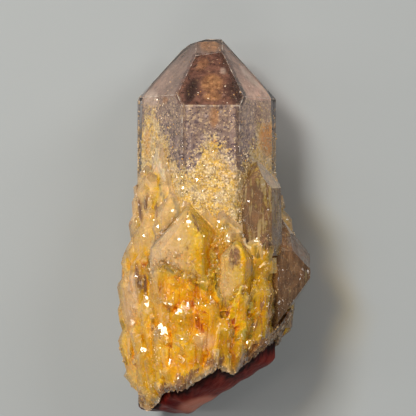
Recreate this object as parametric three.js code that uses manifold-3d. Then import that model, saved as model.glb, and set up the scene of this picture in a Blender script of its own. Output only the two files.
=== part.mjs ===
// A phantom amethyst specimen lying on its side: one hexagonal quartz crystal with a six-faced point,
// jacketed below its shoulders by smaller golden quartz crystals that grew with it, and broken off across
// the root.
//
// Millimetres. +Y runs along the main crystal towards its point. +Z is up, away from the flat face on which
// the specimen grew against its neighbour and on which it now rests (z = 0). The origin is below the middle
// of the bounding box.

import * as THREE from "three";
import { ConvexGeometry } from "three/addons/geometries/ConvexGeometry.js";
import { mergeVertices } from "three/addons/utils/BufferGeometryUtils.js";
import Module from "manifold-3d";

const wasm = await Module();
wasm.setup();

// ---------------------------------------------------------------- driving dimensions

const LENGTH = 65.6; // from the lowest of the broken root to the point
const AXIS_HEIGHT = 10.4; // main crystal's c-axis above the resting face
const AXIS_X = -0.6; // and to the side of the drawing's centre line
const APEX_ABOVE_POINT = 2.7; // how much of the ideal apex the blunt point has lost
const QUARTZ_SLOPE = THREE.MathUtils.degToRad(51.8); // pyramid face against the basal plane
const JACKET_TOP = 47; // height up the main crystal that the jacket reaches
const JACKET_BOTTOM = -4; // below the broken edge, so that the break cuts right through it
const JACKET_DOWN = 14; // how far it reaches down from the axis, to below the resting face
const JACKET_SEED = 8;

// Six face directions round a crystal, starting at the face turned up and going round to the right. Every
// list of six distances below is in this order.
const UP = 90;
const FACE_STEP = -60;

const WELD = 1e-3; // corners closer than this are one corner

// ---------------------------------------------------------------- helpers

// The same numbers on every run.
function randomFrom(seed) {
  let state = seed;
  return () => {
    state = (state * 1664525 + 1013904223) % 4294967296;
    return state / 4294967296;
  };
}

// A number from -0.5 to 0.5 that depends only on where it is asked for.
function jitter(...where) {
  const sum = where.reduce((total, value, i) => total + value * [12.9898, 78.233, 37.719, 53.117][i], 0);
  const wave = Math.sin(sum) * 43758.5453;
  return wave - Math.floor(wave) - 0.5;
}

function solidOf(geometry) {
  const bare = geometry.clone();
  for (const name of Object.keys(bare.attributes)) {
    if (name !== "position") bare.deleteAttribute(name);
  }
  const merged = mergeVertices(bare, WELD);
  return new wasm.Manifold(
    new wasm.Mesh({
      numProp: 3,
      vertProperties: merged.attributes.position.array,
      triVerts: new Uint32Array(merged.index.array),
    }),
  );
}

function joined(solids) {
  let layer = solids;
  while (layer.length > 1) {
    const next = [];
    for (let i = 0; i < layer.length; i += 2) {
      next.push(i + 1 < layer.length ? layer[i].add(layer[i + 1]) : layer[i]);
    }
    layer = next;
  }
  return layer[0];
}

function geometryOf(solid) {
  const mesh = solid.getMesh();
  const positions = new Float32Array(mesh.numVert * 3);
  for (let i = 0; i < mesh.numVert; i++) {
    const start = i * mesh.numProp;
    positions.set(mesh.vertProperties.subarray(start, start + 3), i * 3);
  }
  const geometry = new THREE.BufferGeometry();
  geometry.setAttribute("position", new THREE.BufferAttribute(positions, 3));
  geometry.setIndex(new THREE.BufferAttribute(new Uint32Array(mesh.triVerts), 1));
  return geometry;
}

// Corners of the convex body behind a set of planes: every three planes meet in a point, and the points that
// no plane cuts off are the corners.
function cornersOf(planes) {
  const corners = [];
  const normals = new THREE.Matrix3();
  for (let i = 0; i < planes.length; i++) {
    for (let j = i + 1; j < planes.length; j++) {
      for (let k = j + 1; k < planes.length; k++) {
        const [a, b, c] = [planes[i], planes[j], planes[k]];
        normals.set(...a.normal.toArray(), ...b.normal.toArray(), ...c.normal.toArray());
        if (Math.abs(normals.determinant()) < 1e-6) continue;
        const point = new THREE.Vector3(-a.constant, -b.constant, -c.constant);
        point.applyMatrix3(normals.invert());
        if (planes.some((plane) => plane.distanceToPoint(point) > 1e-5)) continue;
        if (corners.some((corner) => corner.distanceTo(point) < 1e-3)) continue;
        corners.push(point);
      }
    }
  }
  return corners;
}

// Quartz points have three larger and three smaller faces: every second one is set further back.
function unevenDrops(tip, sides) {
  const phase = jitter(...tip) > 0 ? 0 : 1;
  return sides.map((side, k) => side * (0.3 * ((k + phase) % 2) + 0.35 * (0.5 + jitter(k, ...tip))));
}

// One quartz crystal, its apex at `tip`. `sides` are the distances of its six prism faces from the c-axis,
// `drops` how far down the axis each pyramid face is set back, and `facets` are extra faces, each with the
// depth at which it crosses the axis. `lean` turns the point to the right and upwards, in degrees.
function crystal({
  tip,
  sides,
  length,
  lean = [0, 0],
  roll = 0,
  drops = unevenDrops(tip, sides),
  taper = 0,
  facets = [],
}) {
  const planes = [];
  const tilt = THREE.MathUtils.degToRad(taper);
  for (let k = 0; k < 6; k++) {
    const angle = THREE.MathUtils.degToRad(UP + roll + FACE_STEP * k);
    const out = new THREE.Vector3(Math.cos(angle), 0, Math.sin(angle));
    const side = out.clone().multiplyScalar(Math.cos(tilt)).setY(Math.sin(tilt));
    const shoulder = out.clone().multiplyScalar(sides[k]);
    shoulder.y = -drops[k] - sides[k] * Math.tan(QUARTZ_SLOPE);
    planes.push(new THREE.Plane().setFromNormalAndCoplanarPoint(side, shoulder));
    const slope = out.clone().multiplyScalar(Math.sin(QUARTZ_SLOPE)).setY(Math.cos(QUARTZ_SLOPE));
    planes.push(
      new THREE.Plane().setFromNormalAndCoplanarPoint(slope, new THREE.Vector3(0, -drops[k], 0)),
    );
  }
  for (const { toward, tiltFromAxis, depth } of facets) {
    const angle = THREE.MathUtils.degToRad(toward);
    const t = THREE.MathUtils.degToRad(tiltFromAxis);
    const normal = new THREE.Vector3(
      Math.cos(angle) * Math.sin(t),
      Math.cos(t),
      Math.sin(angle) * Math.sin(t),
    );
    planes.push(
      new THREE.Plane().setFromNormalAndCoplanarPoint(normal, new THREE.Vector3(0, -depth, 0)),
    );
  }
  planes.push(new THREE.Plane(new THREE.Vector3(0, -1, 0), -length));
  const geometry = new ConvexGeometry(cornersOf(planes));
  const [right, up] = lean.map(THREE.MathUtils.degToRad);
  geometry.rotateX(up);
  geometry.rotateZ(-right);
  geometry.translate(...tip);
  return solidOf(geometry);
}

// ---------------------------------------------------------------- main crystal

function mainCrystal() {
  return crystal({
    tip: [AXIS_X, LENGTH + APEX_ABOVE_POINT, AXIS_HEIGHT],
    sides: [10.4, 10.0, 10.9, 10.8, 12.6, 9.0],
    drops: [1.7, 0.6, -0.6, 0.2, -2.5, 1.5],
    length: LENGTH + APEX_ABOVE_POINT - JACKET_BOTTOM,
    facets: [
      { toward: 60, tiltFromAxis: 8, depth: 2.4 },
      { toward: 178, tiltFromAxis: 36, depth: 1.3 },
      { toward: 170, tiltFromAxis: 16, depth: 2.7 },
      { toward: 96, tiltFromAxis: 33, depth: 3.6 },
      { toward: 5, tiltFromAxis: 41, depth: 0.5 },
      { toward: -80, tiltFromAxis: 28, depth: 1.9 },
    ],
  });
}

// ---------------------------------------------------------------- jacket

// Outline of the jacket at a height: how far it reaches to the left, right, up and down from the main axis.
const outline = [
  // height, left, right, up
  [JACKET_BOTTOM, 8.5, 5.0, 10.6],
  [2, 10.8, 7.2, 12.0],
  [8, 13.4, 9.4, 12.9],
  [15, 15.0, 11.0, 13.4],
  [21, 15.4, 13.2, 13.7],
  [27, 14.9, 13.8, 13.3],
  [33, 13.0, 12.8, 11.9],
  [40, 11.5, 11.6, 10.4],
  [JACKET_TOP, 10.4, 10.2, 8.6],
];

function outlineAt(height) {
  const last = outline.length - 1;
  if (height <= outline[0][0]) return outline[0];
  if (height >= outline[last][0]) return outline[last];
  const i = outline.findIndex((row) => row[0] > height);
  const [a, b] = [outline[i - 1], outline[i]];
  const t = (height - a[0]) / (b[0] - a[0]);
  return a.map((value, column) => THREE.MathUtils.lerp(value, b[column], t));
}

// Point on the jacket's outline, at an angle round the main axis where 0 is right and 90 is up.
function jacketPoint(height, degrees, scale = 1) {
  const [, left, right, up] = outlineAt(height);
  const angle = THREE.MathUtils.degToRad(degrees);
  const c = Math.cos(angle);
  const s = Math.sin(angle);
  const across = c > 0 ? right : left;
  const high = s > 0 ? up : JACKET_DOWN;
  const radius = 1 / Math.hypot(c / across, s / high);
  return new THREE.Vector3(
    AXIS_X + c * radius * scale,
    height,
    AXIS_HEIGHT + s * radius * scale,
  );
}

// The mass of intergrown quartz between the crystals, a little inside their outline.
function mantle() {
  const tall = JACKET_TOP - JACKET_BOTTOM;
  const geometry = new THREE.CylinderGeometry(1, 1, tall, 22, 14);
  geometry.translate(0, JACKET_BOTTOM + tall / 2, 0);
  const position = geometry.attributes.position;
  for (let i = 0; i < position.count; i++) {
    const [x, height, z] = [position.getX(i), position.getY(i), position.getZ(i)];
    const onAxis = Math.hypot(x, z) < 0.5;
    const degrees = THREE.MathUtils.radToDeg(Math.atan2(z, x));
    const lumps = 0.05 * jitter(Math.round(x * 100), height, Math.round(z * 100));
    const place = jacketPoint(height, degrees, onAxis ? 0 : 0.92 + lumps);
    position.setXYZ(i, place.x, place.y, place.z);
  }
  return solidOf(geometry);
}

// The larger crystals of the upper side.
const largeCrystals = [
  // beside the main prism, upper right
  {
    tip: [8.1, 44.7, 17.4],
    sides: [2.7, 3.5, 3.6, 4, 3, 3.8],
    length: 20,
    lean: [1, 3],
    drops: [0.3, 0.9, 0, 0.5, 0, 0.8],
    taper: 2,
  },
  // right shoulder, with a heel that slants back in
  {
    tip: [11.8, 34.7, 12.8],
    sides: [4.6, 5.5, 4.6, 4.6, 5.0, 4.8],
    length: 20,
    roll: -30,
    lean: [0, 2],
    drops: [0.3, 0, 0, 0, 0, 0.8],
    facets: [{ toward: 8, tiltFromAxis: 125, depth: 19.2 }],
  },
  // the broad one in the middle
  {
    tip: [-3.8, 36.7, 21.8],
    sides: [3.6, 3.9, 4.4, 5, 5.8, 6.0],
    length: 17,
    lean: [-1, 6],
    drops: [0, 0.2, 0, 0, 0.4, 0],
    taper: 2,
  },
  // the six-sided one to its right
  {
    tip: [4.5, 30.6, 22.6],
    sides: [2.1, 2.6, 2.6, 3, 2.6, 2.5],
    length: 17,
    lean: [5, 9],
    drops: [0.9, 0, 0, 0, 0, 0.2],
    taper: 2,
  },
];

// The smaller ones, each with its apex, its half width, its length and its lean.
const smallCrystals = [
  // across, height, depth, half width, length, lean right, lean up
  // upper right
  [9.7, 33.8, 19.4, 2.3, 12, 10, 12],
  [3.4, 36.6, 20.6, 2.3, 14, 2, 8],
  [0.9, 28.4, 21.4, 1.7, 10, -6, 5],
  [12.0, 36.8, 8.6, 1.9, 16, 6, -2],
  [13.0, 28.0, 7.6, 2.7, 13, 14, 2],
  [11.2, 25.4, 4.8, 2.9, 13, 12, -6],
  [13.4, 21.4, 12.6, 2.2, 12, 20, 6],
  // left edge, from the top
  [-11.6, 42.6, 13.6, 2.2, 14, -4, 6],
  [-6.9, 40.0, 19.0, 2.7, 15, -3, 7],
  [-9.6, 36.6, 17.2, 2.2, 12, -6, 8],
  [-12.5, 33.8, 14.8, 2.1, 13, -11, 8],
  [-13.8, 30.6, 11.2, 1.9, 12, -15, 0],
  [-11.8, 29.4, 17.6, 2.2, 15, -7, 13],
  [-14.2, 26.8, 14.2, 1.9, 10, -14, 8],
  [-14.8, 22.8, 11.4, 1.7, 9, -16, 2],
  [-14.2, 18.8, 14.2, 1.8, 8, -16, 8],
  [-13.4, 14.2, 12.6, 1.8, 8, -18, 6],
  // beside and below the broad one
  [-9.7, 29.4, 20.0, 1.8, 12, -6, 14],
  [-7.4, 27.4, 22.4, 1.7, 11, -4, 16],
  [-4.0, 26.2, 24.4, 1.9, 11, 6, 16],
  [-8.0, 22.8, 23.0, 1.8, 10, -12, 15],
  [-4.9, 21.2, 24.6, 1.8, 10, 2, 16],
  [-0.8, 22.4, 24.6, 1.8, 11, -4, 15],
  [-11.4, 21.6, 19.8, 2.0, 12, -12, 13],
  [-8.4, 17.4, 22.4, 1.9, 12, -10, 14],
  [-4.6, 16.8, 24.2, 2.0, 12, -6, 14],
  [-1.0, 17.2, 24.6, 1.8, 11, 4, 15],
  [2.4, 18.4, 24.0, 1.9, 12, 10, 14],
  [-11.8, 13.8, 17.8, 1.9, 12, -15, 12],
  [-7.4, 12.2, 21.8, 1.9, 11, -10, 15],
  [-3.0, 12.4, 23.4, 2.0, 10, -4, 16],
  [1.4, 13.6, 23.6, 1.9, 10, 3, 15],
  // lower right, leaning out
  [9.0, 25.8, 20.0, 2.5, 13, 15, 12],
  [11.6, 21.8, 16.6, 2.2, 14, 23, 8],
  [8.8, 20.2, 19.8, 1.9, 13, 20, 12],
  [6.0, 20.0, 22.0, 1.8, 13, 14, 12],
  [5.0, 15.6, 22.4, 1.9, 12, 15, 13],
  [9.4, 16.6, 18.4, 1.9, 13, 25, 8],
];

// Each one differs a little from its row in the list: its width face by face, its direction, turn and taper.
function smallCrystal([x, y, z, halfWidth, length, right, up]) {
  const vary = (index, range) => range * jitter(x, y, z, index);
  return crystal({
    tip: [x, y, z],
    sides: Array.from({ length: 6 }, (_, k) => halfWidth * (1 + vary(k, 0.4))),
    length,
    lean: [right + vary(6, 12), up + vary(7, 9)],
    roll: vary(8, 60),
    taper: 4.5 + vary(9, 7),
  });
}

// Crystals in staggered rows all round the jacket, their points turned up the main crystal and outwards.
const rows = {
  bottom: 3,
  step: 3.7,
  around: 24, // degrees
  flare: [34, 10], // lean away from the main axis at the bottom and at the top, degrees
  flareTop: 40,
  halfWidth: [1.4, 2.6],
  frontScale: 0.55, // on the upper side they only fill in between the placed ones
  frontTop: 37, // above this the upper prism face carries none
};

function jacketCrystals() {
  const random = randomFrom(JACKET_SEED);
  const between = (low, high) => low + (high - low) * random();
  const made = [];
  let offset = 0;
  for (let height = rows.bottom; height <= JACKET_TOP; height += rows.step) {
    offset = rows.around / 2 - offset;
    for (let degrees = offset - 112; degrees < 248; degrees += rows.around) {
      const turn = degrees + between(-7, 7);
      const angle = THREE.MathUtils.degToRad(turn);
      const top = height + between(-1.4, 1.6);
      const onFront = Math.sin(angle) > 0.4;
      const level = Math.min(top / rows.flareTop, 1);
      const flare = THREE.MathUtils.lerp(...rows.flare, level) + between(-4, 4);
      const halfWidth = between(...rows.halfWidth) * (onFront ? rows.frontScale : 1);
      const place = jacketPoint(top - 2, turn, between(0.955, 0.99));
      if (onFront && top > rows.frontTop) continue;
      made.push(
        crystal({
          tip: [place.x, top, place.z],
          sides: Array.from({ length: 6 }, () => halfWidth * between(0.75, 1.2)),
          length: halfWidth * between(3.8, 5.2),
          lean: [flare * Math.cos(angle), flare * Math.sin(angle)],
          roll: between(-30, 30),
          taper: between(0, 4),
        }),
      );
    }
  }
  return made;
}

// ---------------------------------------------------------------- broken root

// A block that reaches down from a rough surface y = surface(x, z): what it takes off is broken away.
const breakBlock = { width: 44, reach: 14, depth: 40, below: 4 };

function breakage(surface, cells) {
  const { width, reach, depth, below } = breakBlock;
  const geometry = new THREE.BoxGeometry(width, reach, depth, cells, 1, cells);
  geometry.translate(0, 0, depth / 2 - below);
  const position = geometry.attributes.position;
  for (let i = 0; i < position.count; i++) {
    if (position.getY(i) > 0) position.setY(i, surface(position.getX(i), position.getZ(i)));
    else position.setY(i, -reach);
  }
  return solidOf(geometry);
}

// Ragged lower edge of the jacket on the upper side: low at the left corner, rising steeply to the right.
const raggedEdge = [
  // across, height
  [-20, 1.0],
  [-10.3, 0.2],
  [-8.9, 3.6],
  [-4.9, 4.6],
  [-1.5, 6.4],
  [1.3, 8.2],
  [3.2, 7.2],
  [6.6, 7.6],
  [8.2, 10.0],
  [11.2, 14.4],
  [20, 26],
];

function raggedHeight(x) {
  const i = Math.max(1, raggedEdge.findIndex((point) => point[0] > x));
  const [a, b] = [raggedEdge[i - 1], raggedEdge[i]];
  return THREE.MathUtils.mapLinear(x, a[0], b[0], a[1], b[1]);
}

function jacketBreak() {
  return breakage((x, z) => {
    const upperSide = THREE.MathUtils.smoothstep(z, 9, 18);
    const low = 1.6 + 0.5 * Math.max(0, x + 4);
    return THREE.MathUtils.lerp(low, raggedHeight(x), upperSide) + 1.1 * jitter(x, z);
  }, 30);
}

// Shell-like fracture across the main crystal: a slanting bowl with faint ribs round its lower left corner.
function rootBreak() {
  return breakage((x, z) => {
    const slant = -0.9 + 0.58 * Math.max(0, x + 6.5) + 0.1 * Math.max(0, -x - 6.5);
    const bowl = 0.036 * (z - 7) ** 2;
    const rib = 0.12 * Math.sin(1.9 * Math.hypot(x + 12, z - 6));
    return slant + bowl + rib;
  }, 26);
}

// ---------------------------------------------------------------- assembly

function contactFace() {
  const block = new THREE.BoxGeometry(80, 120, 20);
  block.translate(0, 30, -10);
  return solidOf(block);
}

function specimen() {
  const grown = joined([
    mantle(),
    ...largeCrystals.map(crystal),
    ...smallCrystals.map(smallCrystal),
    ...jacketCrystals(),
  ]);
  const jacket = grown.subtract(jacketBreak());
  const core = mainCrystal().subtract(rootBreak());
  const whole = core.add(jacket).subtract(contactFace());
  const placed = geometryOf(whole);
  placed.computeBoundingBox();
  const middle = placed.boundingBox.getCenter(new THREE.Vector3());
  placed.translate(-middle.x, -middle.y, -placed.boundingBox.min.z);
  // Loose chips and sealed pockets between the crystals come apart from the main body here.
  const pieces = solidOf(placed).decompose();
  const body = pieces.sort((a, b) => b.volume() - a.volume())[0];
  const geometry = geometryOf(body);
  geometry.computeVertexNormals();
  return geometry;
}

const quartz = new THREE.MeshStandardMaterial({
  color: 0xc9a04e,
  roughness: 0.25,
  metalness: 0,
});

const amethyst = new THREE.Mesh(specimen(), quartz);
amethyst.name = "amethyst_crystal";

const group = new THREE.Group();
group.name = "phantom_amethyst";
group.add(amethyst);

export default group;
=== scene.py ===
# Phantom amethyst specimen: a clear hexagonal point with a cloudy phantom inside, jacketed below by golden
# quartz crystals and broken off dark across the root. It lies on a pale floor, seen from above.

import random
from contextlib import contextmanager
from math import cos, hypot, pi, radians, sin, tan

import bmesh
import bpy
from mathutils import Matrix, Vector, noise
from mathutils.bvhtree import BVHTree


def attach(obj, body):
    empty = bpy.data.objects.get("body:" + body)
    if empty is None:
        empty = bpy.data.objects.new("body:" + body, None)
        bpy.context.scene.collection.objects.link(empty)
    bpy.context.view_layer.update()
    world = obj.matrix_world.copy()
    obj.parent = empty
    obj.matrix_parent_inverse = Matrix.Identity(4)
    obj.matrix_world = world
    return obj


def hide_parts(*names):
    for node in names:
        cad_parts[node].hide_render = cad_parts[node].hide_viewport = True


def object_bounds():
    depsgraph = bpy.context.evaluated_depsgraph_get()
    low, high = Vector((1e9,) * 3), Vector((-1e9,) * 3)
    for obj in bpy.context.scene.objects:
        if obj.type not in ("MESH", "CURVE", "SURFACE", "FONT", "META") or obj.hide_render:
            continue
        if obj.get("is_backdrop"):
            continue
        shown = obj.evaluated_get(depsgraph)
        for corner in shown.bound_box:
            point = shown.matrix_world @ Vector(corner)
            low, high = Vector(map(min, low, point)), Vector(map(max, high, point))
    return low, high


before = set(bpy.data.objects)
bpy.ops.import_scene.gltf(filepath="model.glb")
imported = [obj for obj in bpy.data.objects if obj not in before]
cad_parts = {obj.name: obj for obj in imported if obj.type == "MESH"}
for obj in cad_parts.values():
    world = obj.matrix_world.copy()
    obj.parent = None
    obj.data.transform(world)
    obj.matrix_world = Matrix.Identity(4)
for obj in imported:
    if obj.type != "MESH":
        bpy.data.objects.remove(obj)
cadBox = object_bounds()
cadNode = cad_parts["amethyst_crystal"]

millimetre = 0.001
quartzSlope = radians(51.8)  # pyramid face against the basal plane
downwards = Vector((0, 0, -1))


# camera, floor and lights

studio = {
    "lookAt": (-0.988, 3.45, 12),  # mm
    "distance": 450,
    "lens": 222,
    "sensor": 36,
    "floorSize": 3,  # m
    "floorColor": (0.4, 0.425, 0.435),
    "lampCentre": (0, 3, 10),
    "worldColor": (0.88, 0.86, 0.83),
    "worldStrength": 0.11,
}

# name: place in mm from the lamps' centre, width and height in mm, watts, colour
lamps = {
    "keyLamp": ((-330, 260, 520), (170, 170), 3.7, (1, 0.96, 0.895)),
    "fillLamp": ((-60, -420, 420), (200, 200), 0.4, (1, 0.96, 0.9)),
    "stripLamp": ((-430, -20, 430), (36, 520), 0.6, (1, 0.97, 0.93)),
    "rimLamp": ((420, 200, 330), (150, 300), 1, (1, 0.97, 0.94)),
}


def newObject(name, data):
    made = bpy.data.objects.new(name, data)
    bpy.context.scene.collection.objects.link(made)
    return made


def bmeshOf(mesh):
    bm = bmesh.new()
    bm.from_mesh(mesh)
    return bm


def objectFrom(bm, name):
    mesh = bpy.data.meshes.new(name)
    bm.to_mesh(mesh)
    bm.free()
    return newObject(name, mesh)


def addCamera():
    camera = newObject("camera", bpy.data.cameras.new("camera"))
    camera.data.sensor_width = studio["sensor"]
    camera.data.lens = studio["lens"]
    camera.data.clip_start = 0.01
    camera.location = (Vector(studio["lookAt"]) + Vector((0, 0, studio["distance"]))) * millimetre
    bpy.context.scene.camera = camera


def addFloor():
    bm = bmesh.new()
    bmesh.ops.create_grid(bm, x_segments=1, y_segments=1, size=studio["floorSize"] / 2)
    floor = objectFrom(bm, "floor")
    material, _ = newMaterial("paleFloor")
    finishMaterial(material, {"Base Color": studio["floorColor"], "Roughness": 0.8})
    floor.data.materials.append(material)
    floor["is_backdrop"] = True


def addLamps():
    for name, (place, (width, height), watts, color) in lamps.items():
        lamp = bpy.data.lights.new(name, "AREA")
        lamp.shape = "RECTANGLE"
        lamp.size = width * millimetre
        lamp.size_y = height * millimetre
        lamp.energy = watts
        lamp.color = color
        holder = newObject(name, lamp)
        holder.location = (Vector(studio["lampCentre"]) + Vector(place)) * millimetre
        holder.rotation_euler = Vector(place).to_track_quat("Z", "Y").to_euler()
    world = bpy.data.worlds.new("softRoom")
    world.use_nodes = True
    room = world.node_tree.nodes["Background"].inputs
    room["Color"].default_value = (*studio["worldColor"], 1)
    room["Strength"].default_value = studio["worldStrength"]
    bpy.context.scene.world = world
    bpy.context.scene.view_settings.view_transform = "Standard"


# node helpers

def isSocket(value):
    return isinstance(value, bpy.types.NodeSocket)


# Adds a node, fed with sockets or plain values, to the tree of those sockets unless a tree is given.
def addNode(kind, inputs={}, tree=None, **settings):
    tree = tree or next(value.id_data for value in inputs.values() if isSocket(value))
    made = tree.nodes.new("ShaderNode" + kind)
    for name, value in settings.items():
        setattr(made, name, value)
    for name, value in inputs.items():
        socket = made.inputs[name]
        if isSocket(value):
            tree.links.new(value, socket)
        else:
            socket.default_value = (*value, 1) if socket.type == "RGBA" else value
    return made


def maths(operation, first, second, clamp=False):
    return addNode("Math", {0: first, 1: second}, operation=operation, use_clamp=clamp).outputs[0]


def plus(first, second, clamp=False):
    return maths("ADD", first, second, clamp)


def times(first, second):
    return maths("MULTIPLY", first, second)


def vectorMaths(operation, first, second=(0, 0, 0)):
    return addNode("VectorMath", {0: first, 1: second}, operation=operation).outputs[0]


def scaled(color, amount):
    return addNode("VectorMath", {0: color, "Scale": amount}, operation="SCALE").outputs[0]


def ramp(value, low, high, start=0, end=1):
    limits = {"Value": value, "From Min": low, "From Max": high, "To Min": start, "To Max": end}
    return addNode("MapRange", limits).outputs["Result"]


# An amount made uneven by a noise, by up to reach either way.
def roughened(amount, noisy, reach, low=0.32, high=0.68):
    return plus(amount, ramp(noisy, low, high, -reach, reach))


# Colours laid over one another, each through its own mask.
def layered(color, *layers):
    for mask, over in layers:
        color = addNode("Mix", {0: mask, 6: color, 7: over}, data_type="RGBA").outputs[2]
    return color


def attribute(tree, name):
    return addNode("Attribute", tree=tree, attribute_name=name).outputs["Fac"]


# Object coordinates in mm, turned about the depth axis, then stretched.
def millimetres(tree, stretch=(1, 1, 1), turn=0):
    place = addNode("TexCoord", tree=tree).outputs["Object"]
    turned = {"Vector": place, "Rotation": (0, 0, radians(turn)), "Scale": [millimetre / s for s in stretch]}
    return addNode("Mapping", turned, vector_type="TEXTURE").outputs["Vector"]


def axisOf(place, index):
    return addNode("SeparateXYZ", {0: place}).outputs[index]


def noiseOf(vector, scale, detail=3, roughness=0.55, distortion=0):
    look = {"Scale": scale, "Detail": detail, "Roughness": roughness, "Distortion": distortion}
    return addNode("TexNoise", {"Vector": vector, **look}).outputs["Fac"]


def cells(vector, scale, output="Color", feature="F1"):
    return addNode("TexVoronoi", {"Vector": vector, "Scale": scale}, feature=feature).outputs[output]


# One of the three tones that every cell has.
def toneOf(cell, index):
    return addNode("SeparateColor", {0: cell}).outputs[index]


# Round specks at the middles of cells.
def specksOf(place, scale, near, far):
    return ramp(cells(place, scale, "Distance"), near, far, 1, 0)


# Thin lines between cells.
def seamsOf(tree, stretch, width):
    edges = cells(millimetres(tree, stretch), 1, "Distance", "DISTANCE_TO_EDGE")
    return ramp(edges, 0, width, 1, 0)


def newGroup(name, inputs, outputs):
    group = bpy.data.node_groups.new(name, "ShaderNodeTree")
    for label, value in inputs.items():
        socket = group.interface.new_socket(label, in_out="INPUT", socket_type="NodeSocketFloat")
        socket.default_value = value
    for label, kind in outputs.items():
        group.interface.new_socket(label, in_out="OUTPUT", socket_type="NodeSocket" + kind)
    return group, group.nodes.new("NodeGroupInput").outputs, group.nodes.new("NodeGroupOutput").inputs


def useGroup(tree, group, **inputs):
    return addNode("Group", inputs, tree, node_tree=group).outputs


def newMaterial(name):
    material = bpy.data.materials.new(name)
    material.use_nodes = True
    material.node_tree.nodes.clear()
    return material, material.node_tree


# With a shade it is glass, which lets the lamps through in that colour to light what lies inside.
def finishMaterial(material, inputs, shade=None, **ends):
    tree = material.node_tree
    surface = addNode("BsdfPrincipled", inputs, tree).outputs[0]
    if shade:
        clear = addNode("BsdfTransparent", {"Color": shade}, tree).outputs[0]
        shadowRay = addNode("LightPath", tree=tree).outputs["Is Shadow Ray"]
        surface = addNode("MixShader", {0: shadowRay, 1: surface, 2: clear}).outputs[0]
    addNode("OutputMaterial", {"Surface": surface, **ends})
    return material


# Lets light sink in by about depth, in metres, for each colour.
def waxy(weight, depth, reach):
    return {"Subsurface Weight": weight, "Subsurface Scale": depth, "Subsurface Radius": reach}


# Many tiny crystal faces: every cell tilts the surface its own way, more in some patches than in others;
# broad columns along the crystals tilt it too.
def grainFacetsGroup():
    group, given, out = newGroup(
        "grainFacets", {"Size": 0.4, "Least": 0.1, "Most": 0.6, "Mask": 1, "Columns": 0},
        {"Normal": "Vector", "Tone": "Float"},
    )
    place = millimetres(group)
    grain = cells(place, maths("DIVIDE", 1, given["Size"]))
    column = cells(millimetres(group, (0.9, 0.3, 0.9)), 1)
    patch = times(ramp(noiseOf(place, 0.7), 0.42, 0.6), given["Mask"])
    tilted = addNode("NewGeometry", tree=group).outputs["Normal"]
    tilt = ramp(patch, 0, 1, given["Least"], given["Most"])
    for cell, amount in ((grain, tilt), (column, given["Columns"])):
        centred = vectorMaths("SUBTRACT", cell, (0.5, 0.5, 0.5))
        tilted = vectorMaths("ADD", tilted, scaled(centred, amount))
    group.links.new(vectorMaths("NORMALIZE", tilted), out["Normal"])
    group.links.new(toneOf(grain, 2), out["Tone"])
    return group


stainAndLightColors = {
    "unstained": (0.68, 0.53, 0.27), "rust": (0.38, 0.08, 0.003), "cream": (0.73, 0.56, 0.385),
    "steps": [(0.2, (0.71, 0.54, 0.13)), (0.42, (0.76, 0.515, 0.01)), (0.82, (0.74, 0.36, 0.002))],
    "windowDark": (0.13, 0.06, 0.04), "windowPale": (0.38, 0.23, 0.145), "crack": (0.36, 0.15, 0.01),
    # The glint, rim and pale face colours are painted light: white glints, pale rims that are frosted edges
    # and painted edge highlights, and painted reflections on marked faces.
    "paintedGlint": (0.86, 0.8, 0.66), "rim": (0.88, 0.74, 0.5), "reflectionFace": (0.8, 0.68, 0.52),
}


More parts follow.
